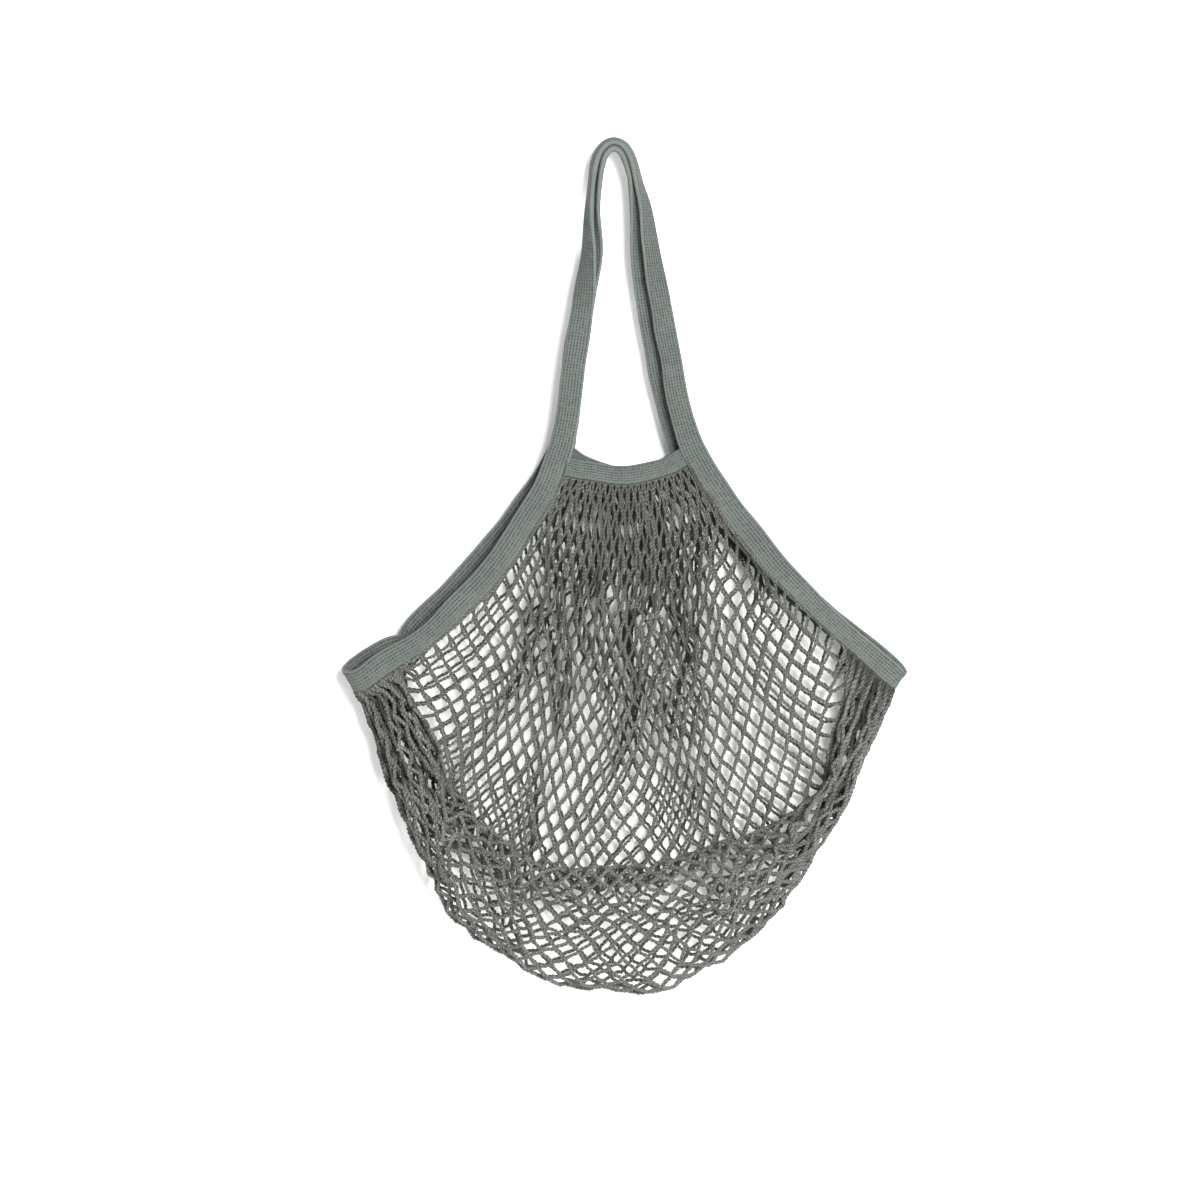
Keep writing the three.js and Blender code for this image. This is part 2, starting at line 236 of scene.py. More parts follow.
def waffle_tape(name, rows, closed, sewn, tilt):
    """A tape with its ribs and pits. At row numbers, sewn gives how far the net's edge of it is pressed smooth, and
    tilt how far its section is turned about its length."""
    fine = np.linspace(0, len(rows) if closed else len(rows) - 1, 4000)
    spine = Line(curve_through(rows, fine, closed)[0][:, :3])
    steps = 2 * round(spine.length / PIT_STEP)
    far = np.linspace(0, spine.length, steps + 1)[: steps if closed else steps + 1]
    places = np.interp(far, spine.far, fine)
    middle, across, out, wide = tape_frame(rows, places, closed)
    lift = tilt(places)[:, None]
    across, out = across * np.cos(lift) + out * np.sin(lift), out * np.cos(lift) - across * np.sin(lift)
    wide = wide + TAPE_STRAY * uneven(far, spine.length, 25, 110, closed)
    middle = middle + across * TAPE_STRAY * uneven(far, spine.length, 20, 90, closed)[:, None]

    # The section: flat with rounded edges, ribs and grooves across it, and pits along both
    thick = TAPE_THICK * (TAPE_WIDE / wide) ** 2
    rings, points = len(far), 2 * RIBS + 1
    part = np.linspace(-1, 1, points)
    rounded = np.sqrt(1 - 0.96 * np.abs(part) ** 8)
    on_rib = np.arange(points) % 2 == 1
    at_pit = np.arange(rings)[:, None] % 2 == 0
    deep = np.where(on_rib, np.where(at_pit, *RIB_PITS), np.where(at_pit, *GROOVE_PITS)) * (np.abs(part) < 1)
    smooth = fade(part, 0.1, 0.35) * sewn(places)[:, None]
    deep = deep * (1 - 0.5 * smooth) + 0.16 * smooth
    deep = deep * chance.uniform(*PIT_CHANCE, deep.shape)
    seam = np.exp(-((part - SEAM_AT) / SEAM_WIDE) ** 2) * sewn(places)[:, None]
    high = thick[:, None] / 2 * rounded - PIT_DEEP * deep - SEAM_DEEP * seam
    level = middle[:, None, :] + across[:, None, :] * (part * wide[:, None] / 2)[:, :, None]
    rise = out[:, None, :] * high[:, :, None]
    corners = np.concatenate([level + rise, (level - rise)[:, ::-1]], axis=1)
    # Painted shade that follows the depth of the knit's pits and hollows, and a darker line along the sunken seam
    pit_and_seam_shade = np.clip(deep + SEAM_DARK * seam, 0, 1)
    shade = np.concatenate([pit_and_seam_shade, pit_and_seam_shade[:, ::-1]], axis=1)

    # Its faces, and a chart of them in metres along and across the tape
    quads, ring, _ = tube_faces(rings, 2 * points, closed)
    over = (np.concatenate([part, part[::-1]]) * wide[:, None] / 2).ravel()[quads]
    down = np.stack([ring, ring, ring + 1, ring + 1], axis=-1) * (spine.length / steps)
    chart = np.stack([down, over], axis=-1) * MM
    if not closed:
        upper = np.arange(points - 1)
        lower = 2 * points - 1 - upper
        cap = np.stack([upper, lower, lower - 1, upper + 1], axis=-1)
        quads = np.vstack([quads, cap, cap[:, ::-1] + (rings - 1) * 2 * points])
        chart = np.vstack([chart, np.zeros((2 * len(cap), 4, 2))])
    return knit_piece(name, corners.reshape(-1, 3), quads, chart, shade), spine.length


class Thread:
    """An output of a finish's nodes, on which sums are written as they are said."""

    def __init__(self, socket):
        self.socket = socket
        self.tree = socket.id_data

    def add(self, kind, settings, values, out=0):
        node = self.tree.nodes.new(kind)
        for name, value in settings.items():
            setattr(node, name, value)
        for name, value in values.items():
            if isinstance(value, Thread):
                self.tree.links.new(node.inputs[name], value.socket)
            else:
                node.inputs[name].default_value = value
        return Thread(node.outputs[out])

    def sum_of(self, operation, *values):
        return self.add("ShaderNodeMath", {"operation": operation}, dict(enumerate(values)))

    def __add__(self, other):
        return self.sum_of("ADD", self, other)

    def __sub__(self, other):
        return self.sum_of("SUBTRACT", self, other)

    def __rsub__(self, other):
        return self.sum_of("SUBTRACT", other, self)

    def __mul__(self, other):
        return self.sum_of("MULTIPLY", self, other)

    __radd__ = __add__
    __rmul__ = __mul__

    def sine(self):
        return self.sum_of("SINE", self)

    def blended(self, first, second):
        """Two colours blended by this value."""
        settings = {"data_type": "RGBA", "clamp_factor": True}
        return self.add("ShaderNodeMix", settings, {0: self, 6: first, 7: second}, out=2)


def cotton_finish(name, dye_scale, fibre_scale):
    """A matt cotton finish: its shader, the ways along and across a piece, its shade, its dye and its fibre."""
    finish = bpy.data.materials.new(name)
    finish.use_nodes = True
    shader = finish.node_tree.nodes["Principled BSDF"]
    shader.inputs["Specular IOR Level"].default_value = 0.22
    shader.inputs["Sheen Weight"].default_value = 0.08
    shader.inputs["Sheen Roughness"].default_value = 0.45
    start = Thread(shader.outputs[0])
    chart = start.add("ShaderNodeUVMap", {"uv_map": "chart"}, {})
    along = start.add("ShaderNodeSeparateXYZ", {}, {0: chart}, out=0)
    across = start.add("ShaderNodeSeparateXYZ", {}, {0: chart}, out=1)
    shade = start.add("ShaderNodeAttribute", {"attribute_name": "shade"}, {}, out=2)
    place = start.add("ShaderNodeTexCoord", {}, {}, out=3)
    dye = start.add("ShaderNodeTexNoise", {}, {"Vector": place, "Scale": dye_scale, "Detail": 4.0})
    fibre = start.add("ShaderNodeTexNoise", {}, {"Vector": place, "Scale": fibre_scale, "Detail": 2.0})
    return finish, shader, along, across, shade, dye, fibre


def lay_on(shader, colour, rise, raised, rough):
    """Gives a shader its colour, its tufts from a rise and how far they are raised, and its roughness."""
    tufts = rise.add("ShaderNodeBump", {}, {"Strength": raised, "Distance": 0.0004, "Height": rise})
    for socket, thread in (("Base Color", colour), ("Normal", tufts), ("Roughness", rough)):
        thread.tree.links.new(shader.inputs[socket], thread.socket)


# The knit's dark and pale tones, and a near black for the painted shade in its pits
TAPE_DARK, TAPE_PALE, TAPE_PIT_SHADE = (0.071, 0.083, 0.076, 1), (0.12, 0.134, 0.124, 1), (0.012, 0.014, 0.013, 1)
LOOPS_ALONG, LOOPS_ACROSS = 5712.0, 5900.0  # the knitting's loops, in radians for each metre
tape_finish, tape_shader, along_tape, across_tape, pits, tape_dye, tape_fibre = cotton_finish(
    "waffle_tape_cotton", 45.0, 1400.0)
clean_tape = (tape_dye * 0.8 + tape_fibre * 0.8 - 0.3).blended(TAPE_DARK, TAPE_PALE)
# The tape's shade darkens its colour: painted shade in the pits, and a darker line along the sunken seam
shaded_knit_colour = (pits * 0.95).blended(clean_tape, TAPE_PIT_SHADE)
loops = (along_tape * LOOPS_ALONG).sine() * (across_tape * LOOPS_ACROSS).sine()
lay_on(tape_shader, shaded_knit_colour, loops * 0.35 + tape_fibre, 0.55, 0.82 + tape_fibre * 0.14)


def bound_part(places):
    """How far a place on the long tape is sewn round the net: 0 on the handles, 1 on the side bands."""
    right = fade(np.minimum(places - foot_right_front, foot_right_back - places), -0.25, 0.25)
    left = fade(np.minimum(places - foot_left_back, foot_left_front - places), -0.25, 0.25)
    return np.maximum(right, left)


def top_tilt(places):
    """The tape lies a little askew over the hanging point, so that its outside shows from the front."""
    front = np.exp(-(((places - TOP_ROW) / TOP_ROWS) ** 4))
    back = np.exp(-(((places - foot_right_back - TOP_ROW) / TOP_ROWS) ** 4))
    return TOP_TILT * (front - back)


tape, tape_length = waffle_tape("binding_tape", long_tape, True, bound_part, top_tilt)
tape.data.materials.append(tape_finish)
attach(tape, "root")
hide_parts("handle_front", "handle_back", "side_band_left", "side_band_right")


# The two top bands: short lengths of the same tape between the feet of each handle, folded over the top of the
# net and sewn down, with both ends tucked behind the long tape.
# Columns: x, y, z, lean, turn, wide
top_front_rows = np.array([
    [-35.7, -6.3, -221.6, -100, 0, 14],
    [-18.2, -6.3, -225, -97, 0, 14],
    [7.7, -6.3, -227.9, -90, 0, 14],
    [37.8, -6.3, -221.2, -75, 0, 14],
    [54.6, -6.3, -211.8, -60, 0, 14],
])
top_back_rows = np.array([
    [-36, 5.3, -209.5, -116, 0, 14],
    [-21, 5.3, -220.5, -112, 0, 14],
    [5.6, 5.3, -229, -90, 0, 14],
    [28.7, 5.3, -225.5, -80, 0, 14],
    [46.2, 5.3, -215, -65, 0, 14],
])
for name, rows in (("top_band_front", top_front_rows), ("top_band_back", top_back_rows)):
    band, band_length = waffle_tape(name + "_tape", rows, False, np.ones_like, np.zeros_like)
    band.data.materials.append(tape_finish)
    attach(band, "root")
    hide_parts(name)


# The net: one piece of knotless cotton net, folded at the foot, with its cords sewn into the tape all round the
# mouth. It is cut along its cords beside the side bands and gathered tightly on the tape at both corners. It
# hangs full in front, dips in a crease that runs round the pouch, and swells below that into a thick roll.
TOP_HALF = 20  # half meshes from the middle of a top band to its end
BAND_STEPS = 14  # cords laid end to end along a side band
HALF = TOP_HALF + BAND_STEPS
FOLD_ROW = 47  # half meshes from the front mouth down to the fold
LAST_ROW = 88  # and on, up the back, to the back mouth
CORD_LENGTH = 11.6  # from one joining of two cords to the next
CORD_THICK = 2.2
JOIN_REACH = 0.8  # from the middle of a joining to the middle of either cord in it
JOIN_LONG = 2.6  # how far two cords run side by side at a joining
GATHER = 50  # length of mouth, either way from a corner, that the net's side is gathered on
SEWN_IN = 1.2  # how far inside the tape's edge the cords' ends are held
TOP_CLEAR, FOOT_CLEAR = 5, 10  # lengths without cords at an end of a top band and at the foot of a handle
FOLD_STEP, CREASE_STEP = 11.2, 10.6  # spacing of the outermost columns at the fold and at the crease
HANG_MIDDLE = 10  # x that the hanging columns draw towards

# Columns: x, y, z
fold_rows = np.array([
    [-171, -9, -399],
    [-151, -8, -455],
    [-122, -6, -512],
    [-91, -5, -553],
    [-46, -4, -582],
    [-1, -4, -589],
    [46, -4, -582],
    [93, -4, -553],
    [128, -4, -512],
    [161, -3, -455],
    [187, -1, -399],
], float)
crease_rows = np.array([
    [-153, -8, -362],
    [-144, -8, -386],
    [-129, -7, -413],
    [-118, -6, -440],
    [-103, -5, -466],
    [-80, -4, -487],
    [-55, -3, -502],
    [-10, -3, -508],
    [36, -3, -502],
    [81, -3, -487],
    [117, -4, -470],
    [141, -5, -447],
    [153, -6, -420],
    [161, -6, -392],
    [168, -6, -366],
], float)
# Columns: half meshes from the middle, half meshes from the front mouth down to the crease
crease_depth = np.array([[0, 29], [16, 28], [25, 24.5], [30, 20], [34, 15]])
# The hang from the mouth to the crease. Columns: part of the rows between them, part of the way, share drawn to the
# middle on the left and on the right, y in front, y at the back, how far the columns beside the top band are laid out
hang_section = [
    [0.125, 0.15, 0.02, 0.02, -10, 5, 9],
    [0.345, 0.38, 0.1, 0.15, -14, 7, 0],
    [0.635, 0.66, 0.16, 0.16, -17, 9.5, 0],
]
# The roll's section in front. Columns: part of the way from the crease to the fold, y, part of the rows between them
roll_section = [
    [0.06, -4, 0],
    [0, -9, 0.08],
    [-0.05, -17, 0.155],
    [-0.03, -25, 0.23],
    [0.13, -31, 0.355],
    [0.41, -33, 0.55],
    [0.71, -30, 0.745],
    [0.91, -21, 0.885],
    [1, -8, 1],
]
# The same from the fold up the back: part of the way from the crease to the fold, y, part of the rows
back_section = [
    [0.8, 5, 0.25],
    [0.4, 9, 0.62],
    [0.02, 9.5, 1],
]


def held_edge(rows, first, last, closed):
    middle, across, _, wide = tape_frame(rows, np.linspace(first, last, 200), closed)
    return Line(middle + across * (wide / 2 - SEWN_IN)[:, None])


mouth = {
    "front": {
        "left": held_edge(long_tape, corner_left, foot_left_front, True),
        "top": held_edge(top_front_rows, 0, len(top_front_rows) - 1, False),
        "right": held_edge(long_tape, corner_right, foot_right_front, True),
    },
    "back": {
        "left": held_edge(long_tape, corner_left, foot_left_back, True),
        "top": held_edge(top_back_rows, 0, len(top_back_rows) - 1, False),
        "right": held_edge(long_tape, corner_right, foot_right_back, True),
    },
}


def full_line(rows):
    return Line(curve_through(rows, np.linspace(0, len(rows) - 1, 600))[0])


fold_line = full_line(np.vstack([mouth["front"]["left"].at(0), fold_rows, mouth["front"]["right"].at(0)]))
crease_line = full_line(crease_rows)


def mouth_point(face, number):
    """Where a column's end is sewn to the mouth: the middle ones to the top band, the outer ones to a side band."""
    edges = mouth[face]
    if abs(number) <= TOP_HALF:
        top = edges["top"]
        return top.at(TOP_CLEAR + (number / TOP_HALF + 1) / 2 * (top.length - 2 * TOP_CLEAR))
    band = edges["left" if number < 0 else "right"]
    step = (abs(number) - TOP_HALF) / BAND_STEPS
    return band.at(GATHER + (1 - step) * (band.length - FOOT_CLEAR - GATHER))


def column_on(line, number, end_step):
    """The point of a line round the pouch at a column. end_step is the spacing at its two ends."""
    far = 1 - abs(number) / HALF
    lift = end_step / (line.length / 2 / HALF) - 1
    reach = (far + lift * far * (1 - far) ** 2) * line.length / 2
    return line.at(reach if number < 0 else line.length - reach)


def column_path(number):
    """A column of the net from the front mouth, over the crease and the roll, to the back mouth."""
    outer = abs(number) / HALF
    crease = column_on(crease_line, number, CREASE_STEP)
    roll = column_on(fold_line, number, FOLD_STEP) - crease
    first = max(abs(number) - TOP_HALF, 0)
    last = LAST_ROW - first
    dip = np.interp(abs(number), *crease_depth.T)
    loose = 1 - outer**8
    side = fade(outer, 0.5, 0.9)
    side = side * side * (3 - 2 * side)

    def at(point, depth):
        return np.array([point[0], point[1] * (1 - loose) + depth * loose, point[2]])

    def hanging(top, part, drawn, depth, laid):
        """A place between a mouth and the crease, with the middle columns drawn closer together by a share, and
        those from the ends of the top band laid along the side band."""
        point = top * (1 - part) + crease * part
        point[0] += (HANG_MIDDLE - point[0]) * drawn * (1 - outer**2)
        point[0] += laid * np.sign(number) * np.exp(-(((outer - 0.6) / 0.2) ** 2))
        return at(point, depth)

    front = [(first, mouth_point("front", number))]
    back = [(last, mouth_point("back", number))]
    for share, part, drawn_left, drawn_right, front_y, back_y, laid in hang_section:
        drawn = drawn_right if number > 0 else drawn_left
        front.append((first + share * (dip - first), hanging(front[0][1], part, drawn, front_y, laid)))
        back.append((last - share * (dip - first), hanging(back[0][1], part, drawn, back_y, laid)))
    pouch = []
    for part, depth, share in roll_section:
        rolled_row = dip + share ** (1 - 0.15 * side) * (FOLD_ROW - dip)
        pouch.append((rolled_row, at(crease + roll * part, depth * (1 - 0.4 * side))))
    for part, depth, share in back_section:
        low_row = FOLD_ROW + share * (last - dip + first - FOLD_ROW)
        pouch.append((low_row, at(crease + roll * part, depth)))
    table = np.array([[*point, station] for station, point in front + pouch + back[::-1]])
    path, _ = curve_through(table, np.linspace(0, len(table) - 1, 400))
    stations = np.maximum.accumulate(path[:, 3] + np.arange(400) * 1e-6)
    return np.stack([np.interp(np.arange(LAST_ROW + 1), stations, path[:, axis]) for axis in range(3)], axis=1)


column, row = np.meshgrid(np.arange(-HALF, HALF + 1), np.arange(LAST_ROW + 1), indexing="ij")
from_middle = np.abs(column)
first_row = np.clip(from_middle - TOP_HALF, 0, None)
joining = ((column + row) % 2 == 0) & (row >= first_row) & (row <= LAST_ROW - first_row)
net = np.array([column_path(number) for number in range(-HALF, HALF + 1)])
for number, side in ((0, "left"), (2 * HALF, "right")):
    for held in range(BAND_STEPS, LAST_ROW - BAND_STEPS + 1):
        face = "front" if held <= FOLD_ROW else "back"
        inner = BAND_STEPS if face == "front" else LAST_ROW - BAND_STEPS
        part = (held - inner) / (FOLD_ROW - inner)
        net[number, held] = mouth[face][side].at(GATHER * (1 - part**1.25))
sewn = joining & ((row == first_row) | (row == LAST_ROW - first_row) | (from_middle == HALF))
free = joining & ~sewn

# Under the top bands the columns of the back lie between those of the front, because the two hang against each other
down_net = np.minimum(row, LAST_ROW - row)
at_back = row > FOLD_ROW
aside = fade(down_net, 0, 3) * fade(down_net, 10, 6) * fade(from_middle, 27, 22) * at_back
beside_front = np.roll(net[:, ::-1], -1, axis=0)
for axis in (0, 2):
    net[..., axis] += (beside_front[..., axis] - net[..., axis]) * aside


def slow_waves(count, shortest, longest):
    """Smooth chance over the whole net, about 1 either way, with waves of so many half meshes."""
    field = np.zeros(column.shape)
    for _ in range(count):
        angle, size = chance.uniform(0, np.pi), chance.uniform(shortest, longest)
        phase = chance.uniform(0, FULL_TURN)
        field += np.cos(FULL_TURN / size * (np.cos(angle) * column + np.sin(angle) * down_net) + phase)
    return field / np.sqrt(count / 2)


# Parts of the net, each 0 to 1 and measured in half meshes: how far a place can give, the roll below the crease, its
# bunched sides and their tight corners, the back, the fold, the crest of the crease and the net gathered at the top
from_edge = np.minimum(np.minimum(row - first_row, LAST_ROW - first_row - row), HALF - from_middle)
crease_row = np.interp(from_middle, *crease_depth.T)
give = fade(from_edge, 0, 5)
rolled = fade(row - crease_row, 0, 3) * fade(LAST_ROW - crease_row - row, 0, 3)
bunched = rolled * fade(from_middle, 18, 27)
tight = rolled * fade(from_middle, 25, 30)
behind = fade(row, FOLD_ROW, FOLD_ROW + 7) * give
at_fold = np.exp(-(((row - FOLD_ROW) / 4) ** 2))
crest = np.exp(-(((row - crease_row - 2) / 4) ** 2)) * fade(from_middle, 25, 19)
gathered = fade(down_net, 0, 2) * fade(down_net, 14, 6) * fade(from_middle, 25, 20)

# The hang is uneven: each column slips up or down in front and at the back, and waves and chance shifts move all
# that can give, by millimetres. Columns: axis, slow waves, short waves in the bunched sides, shift of the back
column_slip = chance.normal(0, 1.7, (2, 2 * HALF + 1, 1))
slip = np.where(row < FOLD_ROW, column_slip[0], column_slip[1]) * (1 + 0.9 * gathered)
net[..., 2] += slip * (1 - rolled) * fade(from_edge, 0, 1.5)
for axis, slow, bunch, offset in ((0, 2.2, 1, 2.2), (1, 2.6, 1.4, 0), (2, 2.2, 1, -3)):
    shift = slow * (0.5 + 0.5 * rolled) * (0.67 * slow_waves(9, 14, 30) + 0.5 * slow_waves(9, 6, 12))
    shift += bunch * bunched * slow_waves(12, 3, 7)
    shift += 2.2 * rolled * (1 - 0.85 * crest) * slow_waves(9, 5, 13)
    shift += behind * (1 - aside) * (offset + 1.6 * slow_waves(9, 9, 24))
    shift *= (1 - 0.35 * at_fold) * (1 - 0.4 * crest) * (1 - 0.8 * tight)
    stray = chance.normal(0, 0.5, column.shape) * (1 + 0.7 * rolled * (1 - crest)) * (1 - 0.7 * tight)
    net[..., axis] += (shift + stray) * give

# Where it is gathered, the net stands in pleats of two rows at the corners, and of two columns under the top bands
PLEAT_STEP = 1.57  # radians of a pleat for each row or column: two stand out and two lie back
pleated = bunched * fade(from_edge, -0.3, 1.2) * (1 - 0.6 * at_fold)
for step, deep, over, stray in ((0.8, 3, 2, 2), (PLEAT_STEP, 7, 0.3, 0.25)):
    pleats = step * (row - 0.5) + stray * slow_waves(9, 10, 22)
    net[..., 0] += over * pleated * np.sin(pleats)
    net[..., 1] += deep * pleated * np.cos(pleats)
folds = PLEAT_STEP * (column - 0.5 + at_back) + np.pi * at_back + 0.5 * slow_waves(9, 10, 22)
net[..., 2] += 3 * gathered * slow_waves(9, 4, 9)
net[..., 0] += 0.4 * gathered * np.sin(folds)
net[..., 1] += 2.8 * gathered * np.cos(folds)


def pairs(over, down, colouring):
    """Pairs of joinings a step apart, in two groups that share no joining within a group."""
    groups = []
    for half in (0, 1):
        a, b = np.nonzero(joining & (colouring % 2 == half))
        c, d = a + over, b + down
        fits = (c >= 0) & (c < column.shape[0]) & (d < column.shape[1])
        a, b, c, d = a[fits], b[fits], c[fits], d[fits]
        fits = joining[c, d]
        groups.append((a[fits], b[fits], c[fits], d[fits]))
    return groups


def draw(group, length, when_long, when_short):
    """Moves the two ends of each pair towards that length, by a share for long ones and one for short ones."""
    a, b, c, d = group
    span = net[c, d] - net[a, b]
    far = np.maximum(np.linalg.norm(span, axis=1), 1e-6)
    free_a, free_b = free[a, b].astype(float), free[c, d].astype(float)
    share = np.where(far > length, when_long, when_short) * (far - length) / far / np.maximum(free_a + free_b, 1)
    net[a, b] += span * (share * free_a)[:, None]
    net[c, d] -= span * (share * free_b)[:, None]


# Each cord is drawn to its length and each mesh kept open, while the net is held to its hang, at first more firmly
DRAWS, FIRM_DRAWS, LOOSE_HOLD = 85, 60, 0.3
MESH_LEAST = 3
FRONT_LIMIT, BACK_LIMIT = -36, 10.5  # y that the cords keep between
cords = pairs(1, 1, row) + pairs(-1, 1, row)
meshes = pairs(0, 2, row // 2) + pairs(2, 0, (column + HALF) // 2)
hung, hold = net.copy(), (0.05 + 0.1 * rolled + 0.2 * bunched)[..., None]
for step in range(DRAWS):
    net[free] += (hung[free] - net[free]) * hold[free] * (1 if step < FIRM_DRAWS else LOOSE_HOLD)
    for group in cords:
        draw(group, CORD_LENGTH, 0.5, 0.06)
    for group in meshes:
        draw(group, MESH_LEAST, 0, 0.5)
    net[free, 1] = np.clip(net[free, 1], FRONT_LIMIT, BACK_LIMIT)

# Each cord zigzags down the net and up again, and is joined to the next one at every turn. Where columns are pressed
# together, and in the valleys of the pleats, the cords carry painted shade, and where rows are, the joinings are
# shorter.
SIDES = 6
RING_STEPS = np.array([0, 3, 6, 8, 10, 12, 14, 16]) / 6  # rings along a joining and on to the next one
OPEN_SPACING, PRESSED_SPACING = 4.6, 2.6  # of columns that hang free, and of those pressed together
VALLEY_DEEP = 2
CORD_FLAT = 0.28  # how far a cord's section is flattened, in turn one way and the other
side_turns = np.arange(SIDES) / SIDES * 2 * np.pi
flattened = np.cos(2 * side_turns)
filled = net.copy()
sums, counts = np.zeros_like(net), np.zeros(column.shape)
for over, down in ((1, 0), (-1, 0), (0, 1), (0, -1)):
    near = np.roll(joining, (-over, -down), axis=(0, 1))
    sums += np.roll(net, (-over, -down), axis=(0, 1)) * near[..., None]
    counts += near
known = ~joining & (counts > 0)
filled[known] = sums[known] / counts[known][:, None]
over_step, down_step = np.gradient(filled, axis=0), np.gradient(filled, axis=1)
sideways, lengthways = unit(over_step), unit(down_step)
pressed = fade(np.linalg.norm(over_step, axis=-1), OPEN_SPACING, PRESSED_SPACING)
shortened = np.clip(np.linalg.norm(down_step, axis=-1) / 6, 0.1, 1)
half_join = lengthways * (JOIN_LONG / 2 * shortened)[..., None]
# How far each place sinks below its neighbours into a pleat's valley, for painted shade there
depth = filled[..., 1]
near_depths = [np.roll(depth, (over, down), axis=(0, 1)) for over in range(-1, 2) for down in range(-4, 5)]
valley_shade = (depth - np.mean(near_depths, axis=0)) * np.where(row < FOLD_ROW, 1, -1)
valley_shade = fade(valley_shade, 0, VALLEY_DEEP) * np.maximum(0.8 * pressed, bunched)


def cord_mesh(number):
    """Corners, faces, chart and painted shade of the cord that zigzags between two columns."""
    steps = np.arange(LAST_ROW + 1)
    right = (number + steps) % 2
    turn_at = (number + right + HALF, steps)
    kept = joining[turn_at]
    turn_at = (turn_at[0][kept], turn_at[1][kept])
    reach = JOIN_REACH * (1 - 0.17 * pressed[turn_at]) * np.where(right[kept] == 1, -1, 1)
    middle = net[turn_at] + sideways[turn_at] * reach[:, None]
    turns = np.stack([middle - half_join[turn_at], middle + half_join[turn_at]], axis=1)
    halfway = (turns[:-1, 1] + turns[1:, 0]) / 2 + chance.normal(0, 0.4, turns[1:, 0].shape)
    halfway = np.vstack([halfway, turns[-1:, 1]])
    turns = np.stack([turns[:, 0], turns[:, 1], halfway], axis=1).reshape(-1, 3)[:-1]
    knots = np.arange(0, len(turns), 3)
    places = (knots[:, None] + RING_STEPS).ravel()
    places = places[places <= len(turns) - 1]
    line, slope = curve_through(turns, places)
    line += chance.normal(0, 0.1, line.shape)

    # The way out from the cord's middle at each corner, carried along without a twist
    along = unit(slope)
    normal = np.zeros_like(line)
    normal[0] = unit(np.cross(along[0], [1.0, 0.3, 0.0]))
    for ring in range(1, len(line)):
        turned = normal[ring - 1] - along[ring] * (normal[ring - 1] @ along[ring])
        normal[ring] = turned / np.linalg.norm(turned)
    other = np.cross(along, normal)
    outward = normal[:, None, :] * np.cos(side_turns)[:, None] + other[:, None, :] * np.sin(side_turns)[:, None]

    def along_cord(values):
        return np.interp(places, knots, values)

    # A cord is thicker in the roll, and where it is pressed it is thinner in front and thicker at the back
    close = along_cord(pressed[turn_at])
    inward = np.clip((FOLD_ROW - along_cord(turn_at[1])) / 6, -1, 1)
    ends = np.minimum(places, places[-1] - places)
    thick = CORD_THICK / 2 * np.clip(0.6 + ends * 1.6, 0, 1)
    thick = thick * (1 + 0.17 * along_cord(rolled[turn_at]) - 0.15 * inward * close)
    beat = np.where(np.arange(len(line)) % 2 == 0, 1, -1)[:, None]
    corners = line[:, None, :] + outward * (thick[:, None] * (1 + CORD_FLAT * beat * flattened))[..., None]
    # Painted shade: in the pinched parts of the section, on the flanks and on the inside of the net where cords are
    # pressed together, and in the valleys of the pleats
    beside = np.stack([along_cord(part) for part in sideways[turn_at].T], axis=1)
    flank_shade = (outward * beside[:, None, :]).sum(2) ** 2
    inside_shade = np.clip(outward[..., 1] * inward[:, None], 0, 1)
    shade = np.clip(-beat * flattened, 0, 1) + close[:, None] * (0.5 * flank_shade + 0.9 * inside_shade)
    shade = np.clip(shade + 0.85 * along_cord(valley_shade[turn_at])[:, None], 0, 1)

    # Its faces with both ends closed, and a chart of them in metres along the cord and turns round it
    quads, _, side = tube_faces(len(line), SIDES)
    far = np.concatenate([[0], np.cumsum(np.linalg.norm(np.diff(line, axis=0), axis=1))]) * MM
    round_it = np.stack([side, side + 1, side + 1, side], axis=-1) / SIDES
    chart = np.stack([far[quads // SIDES], round_it], axis=-1)
    cap = np.array([[3, 2, 1, 0], [5, 4, 3, 0]])
    quads = np.vstack([quads, cap, cap[:, ::-1] + (len(line) - 1) * SIDES])
    chart = np.vstack([chart, np.zeros((2 * len(cap), 4, 2))])
    return corners.reshape(-1, 3), quads, chart, shade.ravel()


# The cord's dark and pale tones, and a near black for its painted shade
CORD_DARK, CORD_PALE, CORD_SHADE = (0.095, 0.097, 0.088, 1), (0.243, 0.246, 0.226, 1), (0.012, 0.012, 0.011, 1)
PLY_ALONG, PLY_ROUND = 4333.0, 12.566  # the cord's plies, in radians for each metre and for each turn round it
net_finish, net_shader, along_net, round_net, cord_shade, net_dye, net_fibre = cotton_finish(
    "net_cord_cotton", 40.0, 1800.0)
clean_cord = (net_dye * 0.8 + net_fibre * 0.9 - 0.35).blended(CORD_DARK, CORD_PALE)
ply = (along_net * PLY_ALONG + round_net * PLY_ROUND).sine() * 0.5 + 0.5
# The cord's painted shade, and painted shade in the grooves between its plies, darken its colour
shaded_cord_colour = (cord_shade * 0.85 + (1 - ply) * 0.6).blended(clean_cord, CORD_SHADE)
lay_on(net_shader, shaded_cord_colour, ply * 0.8 + net_fibre, 0.7, 0.84 + net_fibre * 0.12)

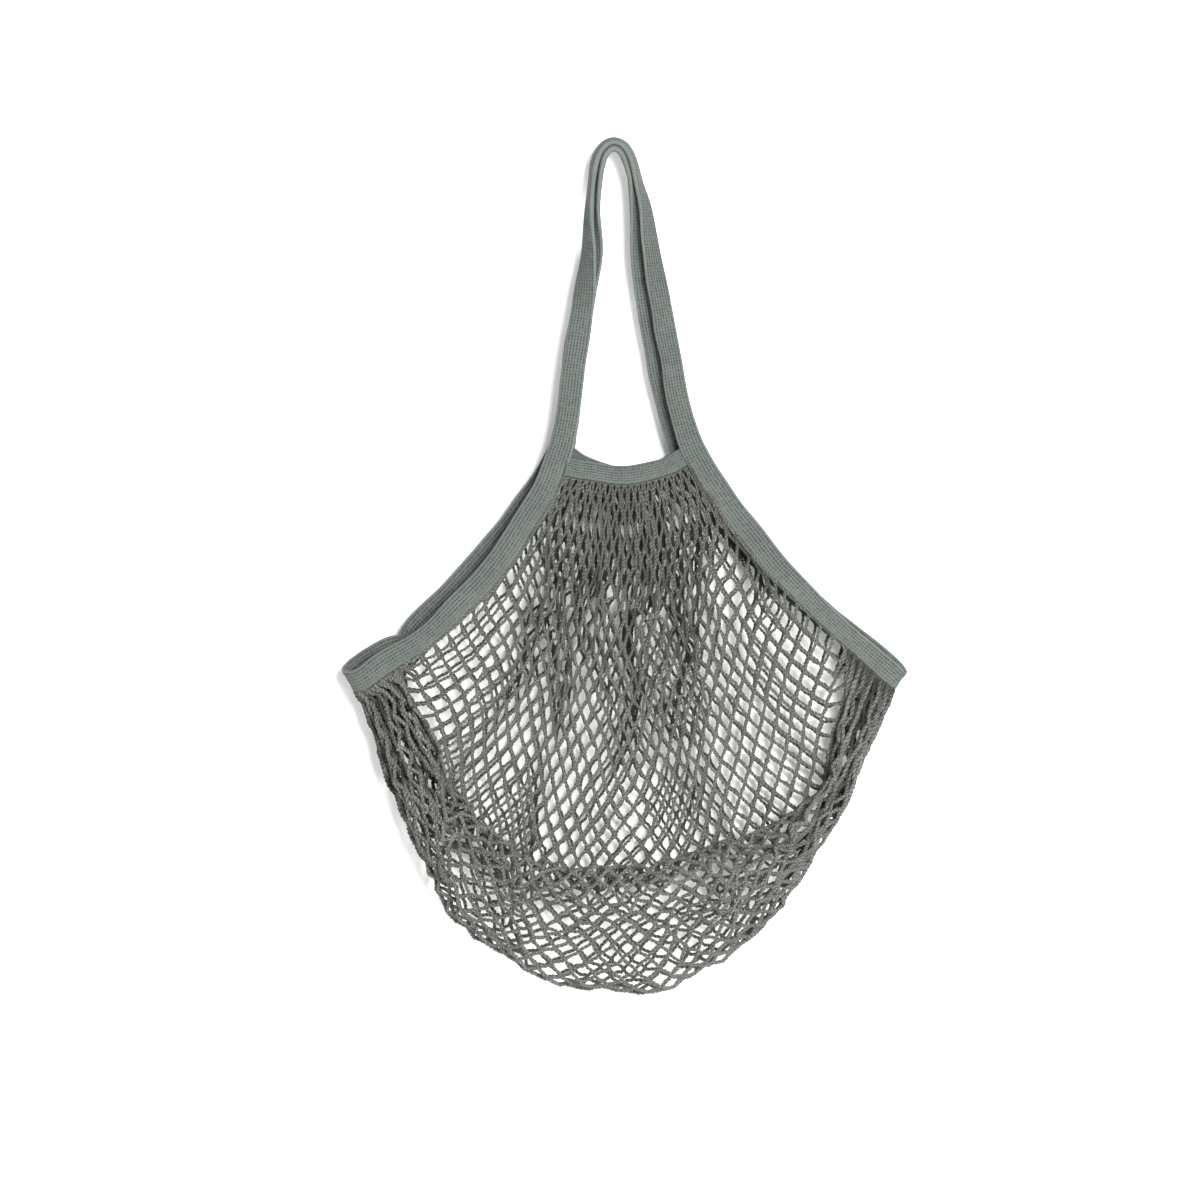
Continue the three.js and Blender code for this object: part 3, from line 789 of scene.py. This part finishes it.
FLAT_STEP = (4.4, 10.73)  # half a mesh of the net laid out a third open, across and along
net_parts = (("net_left", range(-HALF, -10)), ("net_middle", range(-10, 11)), ("net_right", range(11, HALF)))
for name, numbers in net_parts:
    made = [cord_mesh(number) for number in numbers]
    offsets = np.cumsum([0] + [len(part[0]) for part in made[:-1]])
    strands = knit_piece(
        name,
        np.vstack([part[0] for part in made]),
        np.vstack([part[1] + offset for part, offset in zip(made, offsets)]),
        np.vstack([part[2] for part in made]),
        np.concatenate([part[3] for part in made]),
    )
    strands.data.materials.append(net_finish)
    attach(strands, "root")
    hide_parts("net_body")
    cut_rows = sum(LAST_ROW - 2 * max(abs(number + 0.5) - TOP_HALF, 0) for number in numbers)
    area = cut_rows * FLAT_STEP[0] * FLAT_STEP[1] * MM * MM


# The stage: a white wall close behind the bag, a pale floor below it, a broad lamp at the upper right in front, a
# weaker one behind, and even light from all round. The wall is seen from its front alone and casts no shadow, so
# that the lamp behind lights the back of the bag.
WALL_Y, FLOOR_Z = 0.024, -0.95
STAGE_WIDE = 8
LAMP_AIM = Vector((0, 0, -0.32))
LAMP_WIDE = 1.1
CAMERA_FAR = 3.2
FRAME_WIDE = 0.84  # metres of the bag's own plane that fill the picture's width
SENSOR_WIDE = 36


def stage_plane(name, place, turn, colour, glow, one_sided):
    bpy.ops.mesh.primitive_plane_add(size=STAGE_WIDE, location=place, rotation=turn)
    plane = bpy.context.object
    plane.name = name
    paint = bpy.data.materials.new(name)
    paint.use_nodes = True
    shader = paint.node_tree.nodes["Principled BSDF"]
    shader.inputs["Base Color"].default_value = colour
    shader.inputs["Roughness"].default_value = 0.95
    shader.inputs["Specular IOR Level"].default_value = 0.1
    shader.inputs["Emission Color"].default_value = (1, 1, 1, 1)
    shader.inputs["Emission Strength"].default_value = glow
    if one_sided:
        front = Thread(shader.outputs[0])
        from_behind = front.add("ShaderNodeNewGeometry", {}, {}, out=6)
        clear = front.add("ShaderNodeBsdfTransparent", {}, {})
        seen = front.add("ShaderNodeMixShader", {}, {0: from_behind, 1: front, 2: clear})
        output = paint.node_tree.nodes["Material Output"]
        paint.node_tree.links.new(output.inputs["Surface"], seen.socket)
        plane.visible_shadow = False
    plane.data.materials.append(paint)


stage_plane("wall", (0, WALL_Y, -0.3), (np.pi / 2, 0, 0), (0.85, 0.85, 0.85, 1), 0.06, True)
stage_plane("floor", (0, 0, FLOOR_Z), (0, 0, 0), (0.86, 0.86, 0.85, 1), 0, False)

for lamp_place, power in (((0.85, -3.2, 0.2), 258), ((-0.85, 3.2, 0.5), 190)):
    bpy.ops.object.light_add(type="AREA", location=lamp_place)
    lamp = bpy.context.object
    lamp.rotation_euler = (LAMP_AIM - lamp.location).to_track_quat("-Z", "Y").to_euler()
    lamp.data.shape = "DISK"
    lamp.data.size = LAMP_WIDE
    lamp.data.energy = power

world = bpy.data.worlds.new("even_light")
bpy.context.scene.world = world
world.use_nodes = True
world.node_tree.nodes["Background"].inputs["Color"].default_value = (1, 1, 1, 1)
world.node_tree.nodes["Background"].inputs["Strength"].default_value = 0.18

bpy.ops.object.camera_add(location=(-0.0098, -CAMERA_FAR, -0.31465), rotation=(np.pi / 2, 0, 0))
camera = bpy.context.object
camera.data.sensor_width = SENSOR_WIDE
camera.data.lens = SENSOR_WIDE * CAMERA_FAR / FRAME_WIDE
bpy.context.scene.camera = camera
bpy.context.scene.view_settings.view_transform = "Standard"
